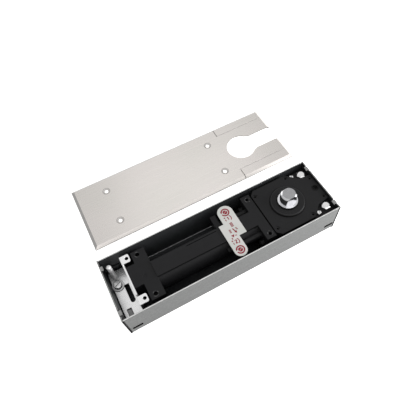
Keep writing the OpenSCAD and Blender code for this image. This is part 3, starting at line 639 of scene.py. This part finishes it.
def endWallFinish(centre, normal):
    # 0 outside, 1 inside with painted shade over the black paint, 2 the top edge, 3 the tabs, 4 the upright
    # edges and the wings' outsides in painted shadow
    along, top = tilt["along"], boxHigh.z - boxFinish["tabDepth"]
    outwards = normal.x * (2 * centre.x - boxLow.x - boxHigh.x) > along * (boxHigh.x - boxLow.x)
    beyond = not boxLow.x + boxFinish["endSheet"] < centre.x < boxHigh.x - boxFinish["endSheet"]
    if normal.y * centre.y > along * abs(centre.y) and centre.z < top:
        return 4
    if centre.z > boxHigh.z - boxFinish["rimDepth"] and normal.z > along:
        return 2 if abs(centre.y) < boxFinish["skinDepth"] or beyond else 3
    if centre.z > top and not beyond:
        return 3
    return 0 if outwards else 1


softened("box_channel", 0.3 * mm, ["zincOutside", "blackInside", "zincRim", "bendHighlight", "shadow"],
         channelFinish)
for side in ("left", "right"):
    softened("end_wall_" + side, 0.12 * mm, ["zincOutside", "blackEndShaded", "zincEdge", "zincTab", "shadow"],
             endWallFinish)

coverLow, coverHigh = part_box("cover_plate")
coverFinish = {
    "bevel": 4 * mm,
    "lip": 1.2 * mm,
    "flat": 0.97,
    "slitWall": 0.9,
    "slitX": -9 * mm,
    "slitReach": 1 * mm,
}


def coverSide(centre, normal):
    # 0 top and front bevel, 1 upright walls of the holes and the keyhole in painted shade, 2 the bevels at
    # the left and the back in painted shade, 3 the walls of the slits in painted shadow, 4 the
    # countersinks, 5 the lip in painted shade
    if abs(normal.z) > coverFinish["flat"]:
        return 0
    atSlit = abs(centre.x - coverFinish["slitX"]) < coverFinish["slitReach"]
    if atSlit and abs(normal.x) > coverFinish["slitWall"]:
        return 3
    bevel = coverFinish["bevel"]
    inside = (coverLow.x + bevel < centre.x < coverHigh.x - bevel
              and coverLow.y + bevel < centre.y < coverHigh.y - bevel)
    if inside:
        return 4 if abs(normal.z) > tilt["across"] else 1
    if centre.z < coverFinish["lip"]:
        return 5
    return 2 if centre.x < coverLow.x + bevel or centre.y > coverHigh.y - bevel else 0


softened("cover_plate", 0.15 * mm,
         ["stainless", "sinkWallShade", "bevelShade", "shadow", "coneSteel", "lipShade"], coverSide)
print("stage: box and cover")

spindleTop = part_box("spindle")[1].z
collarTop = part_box("head_cover")[1].z
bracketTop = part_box("clamp_washer")[0].z
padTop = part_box("cylinder_body")[1].z
castParts = {
    "collarHigh": 2.5 * mm,
    "collarReach": 15 * mm,
    "grooveY": 7.3 * mm,
    "grooveHalf": 0.6 * mm,
    "grooveDeep": 0.7 * mm,
    "socket": 1.5 * mm,
    "socketDeep": 2.1 * mm,
}
bracketWindow = {"left": -229.5 * mm, "right": -222.5 * mm, "down": 0.4 * mm}


def spindleFinish(centre, normal):
    # 1 is the flat face on top
    return 1 if centre.z > spindleTop - nearTop else 0


def headCoverFinish(centre, normal):
    # 1 is the collar's side
    high = centre.z > collarTop - castParts["collarHigh"]
    outer = math.hypot(centre.x, centre.y) > castParts["collarReach"]
    return 1 if high and outer and abs(normal.z) < tilt["across"] else 0


def neckFinish(centre, normal):
    # 1 is the fine groove along the pad
    inGroove = (abs(centre.y - castParts["grooveY"]) < castParts["grooveHalf"]
                and padTop - castParts["grooveDeep"] < centre.z < padTop - nearTop)
    return 1 if inGroove else 0


def bracketFinish(centre, normal):
    # 1 is the pressed-down tab and the walls of its window, in a darker zinc for painted shade
    inWindow = bracketWindow["left"] < centre.x < bracketWindow["right"] and centre.y < 0
    return 1 if inWindow and centre.z < bracketTop - bracketWindow["down"] else 0


screwPlaces = solidCentres("head_cover_screws")
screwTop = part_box("head_cover_screws")[1].z


def socketFinish(centre, normal):
    # 1 is the socket in the head of a screw
    away = min(math.hypot(centre.x - x, centre.y - y) for x, y in screwPlaces)
    deep = screwTop - castParts["socketDeep"] < centre.z < screwTop - nearTop
    return 1 if away < castParts["socket"] and deep else 0


def sideFinish(centre, normal):
    # 1 is an upright side, 0 the top and its chamfer
    return 1 if abs(normal.z) < tilt["across"] else 0


softened("spindle", 0.25 * mm, ["spindleSteel", "spindleFace"], spindleFinish)
softened("head_cover", 0.35 * mm, ["headPaint", "shadow"], headCoverFinish)
softened("cylinder_body", 0.6 * mm, ["castBlack", "shadow"], neckFinish)
softened("tail_bracket", 0.3 * mm, ["bracketZinc", "tabZincShade"], bracketFinish)
softened("head_cover_screws", 0.15 * mm, ["blackScrew", "shadow"], socketFinish)
softened("clamp_bolt", 0.2 * mm, ["brightZinc", "shadeSteel"], sideFinish)
softened("clamp_washer", 0.15 * mm, ["washerZinc", "shadeSteel"], sideFinish)

# The width of each rounded edge in millimetres, and the finish
softPieces = {
    "head_housing": (0.6, "castBlack"),
    "end_cap": (0.6, "castBlack"),
    "filler_plug": (0.2, "castDark"),
    "flange_bolts": (0.2, "blackScrew"),
    "tail_screws": (0.1, "groundSteel"),
    "levelling_screws": (0.2, "blackScrew"),
    "valve_screw_latch": (0.2, "brightZinc"),
    "valve_screw_sweep": (0.2, "brightZinc"),
    "side_screws": (0.25, "brightZinc"),
    "setting_label": (0.08, "card"),
    "heart_cam": (0.3, "camSteel"),
    "carriage_plate_upper": (0.2, "groundSteel"),
    "carriage_plate_lower": (0.2, "groundSteel"),
    "crosshead": (0.3, "groundSteel"),
    "piston": (0.3, "groundSteel"),
    "piston_nut": (0.3, "brightZinc"),
    "spring_seat": (0.3, "groundSteel"),
    "closing_roller": (0.3, "groundSteel"),
    "return_roller": (0.3, "groundSteel"),
    "box_weld_nuts": (0.3, "brightZinc"),
}
for node, (width, finish) in softPieces.items():
    softened(node, width * mm, [finish])

plainParts = {
    "cover_gasket": "rubber", "neck_gasket": "rubber", "oil_seal": "rubber",
    "piston_seal": "rubber", "end_cap_seal": "rubber",
    "upper_bearing": "bronze", "lower_bearing": "bronze",
    "cam_key": "groundSteel", "crosshead_pins": "groundSteel", "roller_pins": "groundSteel",
}
for node, finish in plainParts.items():
    part = frame["nodes"][node]
    part.data.materials.clear()
    part.data.materials.append(finishes[finish])
print("stage: soft-edged pieces and plain parts")

hexBolt = {
    "sides": 96,
    "cone": 30,  # degrees
    "flat": 0.8,  # radius of the top's round face, as a share of the apothem
    "washerFace": 1.02,  # radius of the face under the head, as a share of the apothem
    "under": 0.35 * mm,
    "headHeight": 4.5 * mm,
    "sharp": 25,  # degrees
}


def hexRadius(angle, apothem):
    # Distance to the side of a hexagon whose corners lie at multiples of 60 degrees
    turn = np.mod(angle, math.pi / 3) - math.pi / 6
    return apothem / np.cos(turn)


def gridFaces(rows, columns):
    # Quads of a grid whose last column joins the first
    row, column = np.meshgrid(np.arange(rows - 1), np.arange(columns), indexing="ij")
    after = (column + 1) % columns
    return np.stack([row * columns + column, row * columns + after,
                     (row + 1) * columns + after, (row + 1) * columns + column], -1).reshape(-1, 4)


def gridMesh(name, grids, sharpAngle):
    # One mesh from closed grids of rows x columns x 3, each with its poles merged
    work = bmesh.new()
    for grid in grids:
        mesh = bpy.data.meshes.new("grid")
        rows, columns = grid.shape[:2]
        mesh.from_pydata(grid.reshape(-1, 3).tolist(), [], gridFaces(rows, columns).tolist())
        work.from_mesh(mesh)
        bpy.data.meshes.remove(mesh)
    bmesh.ops.remove_doubles(work, verts=work.verts, dist=weld["grid"])
    bmesh.ops.recalc_face_normals(work, faces=work.faces)
    mesh = bpy.data.meshes.new(name)
    work.to_mesh(mesh)
    work.free()
    finishMesh(mesh, sharpAngle)
    return mesh


def hexBoltGrid(centre, apothem, shank, low, under, top):
    # Rows of radius and height from the head's top down: the round flat, the hexagon
    # where a cone has cut its corners, the head's underside and the shank
    angle = np.linspace(0, 2 * math.pi, hexBolt["sides"], endpoint=False)
    corner = hexRadius(angle, apothem)
    flat = np.full_like(angle, hexBolt["flat"] * apothem)
    cone = math.tan(math.radians(hexBolt["cone"]))
    rows = [(0 * angle, top + 0 * angle), (flat, top + 0 * angle),
            (corner, top - (corner - flat) * cone),
            (corner, under + hexBolt["under"] + 0 * angle),
            (np.minimum(corner, apothem * hexBolt["washerFace"]), under + 0 * angle),
            (shank + 0 * angle, under + 0 * angle), (shank + 0 * angle, low + 0 * angle),
            (0 * angle, low + 0 * angle)]
    return np.stack([np.stack([centre[0] + r * np.cos(angle), centre[1] + r * np.sin(angle), z], -1)
                     for r, z in rows])


def makeHexBolts():
    grids = []
    for low, high in solidBoxes("hex_bolts"):
        apothem = (high[1] - low[1]) / 2
        grids.append(hexBoltGrid((low + high) / 2, apothem, apothem / 2, low[2],
                                 high[2] - hexBolt["headHeight"], high[2]))
    mesh = gridMesh("hexBoltsTurned", grids, hexBolt["sharp"])
    addPiece("hexBoltsTurned", mesh, ["brightZinc"], "box", ["hex_bolts"])


makeHexBolts()

studShape = {
    "pitch": 1.0 * mm,
    "depth": 0.35 * mm,
    "steps": 8,  # rows to one turn of the thread
    "sides": 36,
    "tipRise": 2 * mm,
    "tipRows": 8,
    "sharp": 50,  # degrees
    "slotWidth": 0.9 * mm,
    "slotDeep": 2 * mm,
}


def cutBlock(mesh, low, high):
    # The mesh less a block between two corners
    corners = list(itertools.product(*zip(low, high)))
    sides = [(0, 1, 3, 2), (4, 6, 7, 5), (0, 4, 5, 1), (2, 3, 7, 6), (0, 2, 6, 4), (1, 5, 7, 3)]
    block = bpy.data.meshes.new("block")
    block.from_pydata(corners, [], sides)
    blank = bpy.data.objects.new("blank", mesh)
    cutter = bpy.data.objects.new("cutter", block)
    for thing in (blank, cutter):
        bpy.context.scene.collection.objects.link(thing)
    cut = blank.modifiers.new("cut", "BOOLEAN")
    cut.object = cutter
    cut.solver = "EXACT"
    done = bpy.data.meshes.new_from_object(blank.evaluated_get(bpy.context.evaluated_depsgraph_get()))
    done.name = mesh.name + "Cut"
    for thing in (blank, cutter):
        bpy.data.objects.remove(thing)
    finishMesh(done, studShape["sharp"])
    return done


def threadedPost(centre, radius, low, high):
    # Radius = r - depth x a triangle wave of (height / pitch - angle / turn), which
    # fades out at the foot and below the tip; the tip is a quarter ellipse
    pitch, tipRise = studShape["pitch"], studShape["tipRise"]
    rows = int((high - tipRise - low) / pitch * studShape["steps"])
    height = np.linspace(low, high - tipRise, rows)[:, None]
    angle = np.linspace(0, 2 * math.pi, studShape["sides"], endpoint=False)[None, :]
    wave = np.abs(np.mod(height / pitch - angle / (2 * math.pi), 1) * 2 - 1)
    below = np.clip((high - tipRise - height) / (2 * pitch), 0, 1)
    shank = radius - studShape["depth"] * wave * below * np.clip((height - low) / pitch, 0, 1)
    bow = np.linspace(0, math.pi / 2, studShape["tipRows"])[:, None]
    tip = radius * np.cos(bow) + 0 * angle
    radii = np.concatenate([0 * angle, shank, tip[1:]])
    heights = np.concatenate([low + 0 * angle, height + 0 * angle,
                              (high - tipRise + tipRise * np.sin(bow[1:])) + 0 * angle])
    turn = np.broadcast_to(angle, radii.shape)
    return np.stack([centre[0] + radii * np.cos(turn), centre[1] + radii * np.sin(turn), heights], -1)


def makeStud():
    low, high = [np.array(corner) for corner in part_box("levelling_stud")]
    centre, radius = (low + high) / 2, (high[0] - low[0]) / 2
    grid = threadedPost(centre, radius, low[2], high[2])
    half = studShape["slotWidth"] / 2
    slotted = cutBlock(gridMesh("studThreaded", [grid], studShape["sharp"]),
                       (low[0] - mm, centre[1] - half, high[2] - studShape["slotDeep"]),
                       (high[0] + mm, centre[1] + half, high[2] + mm))
    addPiece("studThreaded", slotted, ["studZinc"], "box", ["levelling_stud"])


makeStud()
print("stage: bolts and stud")

coil = {
    "turns": 11,
    "wire": 2.3 * mm,
    "steps": 48,
    "sides": 14,
    "closeGap": 0.2 * mm,
    "ground": 0.8,  # the end turns are ground down to this share of the wire's radius
    "sharp": 50,  # degrees
}


def makeSpring():
    # Place along X after t turns: a close pitch in the first and the last turn and an
    # even pitch between; each ring of the wire stands across the coil, and the two
    # ends are ground flat
    low, high = [np.array(corner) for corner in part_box("closer_spring")]
    wire, turns = coil["wire"], coil["turns"]
    start, end, axisZ = high[0] - wire, low[0] + wire, (low[2] + high[2]) / 2
    radius = (high[2] - low[2]) / 2 - wire
    close = 2 * wire + coil["closeGap"]
    pitch = (start - end - 2 * close) / (turns - 2)
    turn = np.linspace(0, turns, turns * coil["steps"] + 1)
    place = (start - close * np.minimum(turn, 1) - pitch * np.clip(turn - 1, 0, turns - 2)
             - close * np.clip(turn - turns + 1, 0, 1))
    around = np.linspace(0, 2 * math.pi, coil["sides"], endpoint=False)[None, :]
    angle = (2 * math.pi * turn)[:, None]
    reach = radius + wire * np.cos(around)
    ground = coil["ground"] * wire
    along = np.clip(place[:, None] + wire * np.sin(around), low[0] + ground, high[0] - ground)
    rings = np.stack([along, reach * np.cos(angle), axisZ + reach * np.sin(angle)], -1)
    first, last = [np.repeat(ring.mean(axis=0)[None, None], coil["sides"], axis=1)
                   for ring in (rings[0], rings[-1])]
    mesh = gridMesh("springWire", [np.concatenate([first, rings, last])], coil["sharp"])
    piece = addPiece("springWire", mesh, ["springSteel"], bodyOf["closer_spring"], ["closer_spring"])
    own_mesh(piece)


makeSpring()
print("stage: spring")

# Card marks: rings, ticks, arrows and the plain digits 1 and 2, printed in one ink.
# Lengths are in millimetres on the card, and each mark is an open grid of rows x
# columns x 2.
cardMarks = {
    "ring": (3.8, 5.5),
    "ringGap": (158, 197),  # degrees left open, towards the box's left end
    "ringArrow": {"ahead": 1.8, "size": 2.2},
    "dot": 2.7,
    "dotSlot": 0.4,
    "dotTurns": (35, 215),
    "stroke": 1.1,
    "arcColumns": 33,
    "barb": 0.6,
    "ends": [
        {"centre": (-74.4, 24.2), "toDigit": (-0.6, -9.2), "digit": "one"},
        {"centre": (-82.8, -27.9), "toDigit": (0.8, 11.2), "digit": "two"},
    ],
    "bracket": {"shift": (-0.6, 0), "radii": (3.9, 4.9), "half": 48},
    "bars": [((-3.9, 3.2), (-3.9, 1.6), 1.7), ((-3.8, 0), (-3.8, -2.6), 1.0)],
    "digits": {
        "one": [[(-0.9, 0.9), (0.1, 2.1)], [(0.1, 2.1), (0.1, -2.1)]],
        "two": [[(-1.2, 1.3), (-0.5, 2.2)], [(-0.5, 2.2), (0.6, 2.2)], [(0.6, 2.2), (1.2, 1.2)],
                [(1.2, 1.2), (-1.2, -2.1)], [(-1.2, -2.1), (1.4, -2.1)]],
    },
    "scale": {"x": (-77.4, -74.0), "y": (8.0, 6.4, 4.8, 3.2)},
    "arrow": {"tail": (-77.6, 0.4), "tip": (-75.2, -7.2), "head": 3.0, "inHead": 0.3, "width": 1.2},
    "pointer": {"tip": (-81.6, -10.8), "way": (0, -1), "size": 3.6},
    "ticks": [
        [(-82.6, 0.4), (-80.2, -0.4)], [(-82.8, -1.4), (-80.4, -2.2)], [(-83.0, -3.2), (-80.6, -4.0)],
        [(-74.2, -0.4), (-72.4, -1.0)], [(-73.8, -2.2), (-72.0, -2.8)], [(-79.0, -9.0), (-77.2, -9.6)],
        [(-84.2, -10.2), (-84.2, -12.6)],
    ],
    "height": 0.06 * mm,
    "levels": 7,
    "step": 0.006 * mm,
}


def arcBand(centre, inner, outer, start, end):
    # Two rows at the inner and the outer radius, columns at even angles
    angle = np.radians(np.linspace(start, end, cardMarks["arcColumns"]))
    radius = np.array([inner, outer])[:, None]
    return np.stack([centre[0] + radius * np.cos(angle), centre[1] + radius * np.sin(angle)], -1)


def stroke(start, end, width):
    # A straight bar between two points: each end moved half the width to both sides
    start, end = np.array(start, float), np.array(end, float)
    along = (end - start) / np.linalg.norm(end - start)
    side = np.array([-along[1], along[0]]) * width / 2
    return np.array([[start - side, end - side], [start + side, end + side]])


def arrowHead(tip, way, size):
    # A triangle: one row is the tip twice, the other its two barbs
    tip, way = np.array(tip, float), np.array(way, float) / np.linalg.norm(way)
    side = np.array([-way[1], way[0]]) * cardMarks["barb"] * size
    return np.array([[tip, tip], [tip - way * size - side, tip - way * size + side]])


def endMarks(end):
    # Ring with a gap and an arrow, slotted dot, digit in an open bracket, square and tick
    centre, gap = np.array(end["centre"]), cardMarks["ringGap"]
    inner, outer = cardMarks["ring"]
    start = math.radians(gap[0])
    tail = centre + (inner + outer) / 2 * np.array([math.cos(start), math.sin(start)])
    along = np.array([-math.sin(start), math.cos(start)])
    arrow = cardMarks["ringArrow"]
    marks = [arcBand(centre, inner, outer, gap[1], gap[0] + 360),
             arrowHead(tail + arrow["ahead"] * along, along, arrow["size"])]
    for turn in cardMarks["dotTurns"]:
        across = math.radians(turn + 90)
        slot = cardMarks["dotSlot"] / 2 * np.array([math.cos(across), math.sin(across)])
        marks.append(arcBand(centre + slot, 0, cardMarks["dot"], turn, turn + 180))
    middle = centre + np.array(end["toDigit"])
    marks += [stroke(middle + np.array(a), middle + np.array(b), cardMarks["stroke"])
              for a, b in cardMarks["digits"][end["digit"]]]
    bracket = cardMarks["bracket"]
    marks.append(arcBand(middle + np.array(bracket["shift"]), *bracket["radii"],
                         -bracket["half"], bracket["half"]))
    marks += [stroke(middle + np.array(a), middle + np.array(b), width)
              for a, b, width in cardMarks["bars"]]
    return marks


def printMarks(name, marks, z):
    # All grids as one sheet at height z, given its thickness by Solidify; marks that
    # follow each other lie one step higher, so that crossing strokes share no plane
    work = bmesh.new()
    for number, mark in enumerate(marks):
        rows, columns = mark.shape[:2]
        row, column = np.meshgrid(np.arange(rows - 1), np.arange(columns - 1), indexing="ij")
        first = row * columns + column
        faces = np.stack([first, first + 1, first + columns + 1, first + columns], -1).reshape(-1, 4)
        level = z + number % cardMarks["levels"] * cardMarks["step"]
        points = np.concatenate([mark * mm, np.full(mark.shape[:2] + (1,), level)], -1).reshape(-1, 3)
        mesh = bpy.data.meshes.new("mark")
        mesh.from_pydata(points.tolist(), [], faces.tolist())
        work.from_mesh(mesh)
        bpy.data.meshes.remove(mesh)
    bmesh.ops.remove_doubles(work, verts=work.verts, dist=weld["mark"])
    bmesh.ops.dissolve_degenerate(work, edges=work.edges, dist=weld["mark"])
    downwards = [face for face in work.faces if face.normal.z < 0]
    bmesh.ops.reverse_faces(work, faces=downwards)
    mesh = bpy.data.meshes.new(name)
    work.to_mesh(mesh)
    work.free()
    piece = addPiece(name, mesh, ["ink"], bodyOf["setting_label"])
    thickness = piece.modifiers.new("inkThickness", "SOLIDIFY")
    thickness.thickness = cardMarks["height"]
    thickness.offset = 0


def makeCardMarks():
    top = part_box("setting_label")[1].z
    marks = [mark for end in cardMarks["ends"] for mark in endMarks(end)]
    left, right = cardMarks["scale"]["x"]
    marks += [stroke((left, y), (right, y), cardMarks["stroke"]) for y in cardMarks["scale"]["y"]]
    arrow = cardMarks["arrow"]
    way = np.array(arrow["tip"]) - np.array(arrow["tail"])
    shaftEnd = np.array(arrow["tip"]) - arrow["inHead"] * way
    marks += [stroke(arrow["tail"], shaftEnd, arrow["width"] * cardMarks["stroke"]),
              arrowHead(arrow["tip"], way, arrow["head"])]
    pointer = cardMarks["pointer"]
    marks.append(arrowHead(pointer["tip"], pointer["way"], pointer["size"]))
    marks += [stroke(a, b, cardMarks["stroke"]) for a, b in cardMarks["ticks"]]
    printMarks("cardMarks", marks, top)


makeCardMarks()
print("stage: card marks")
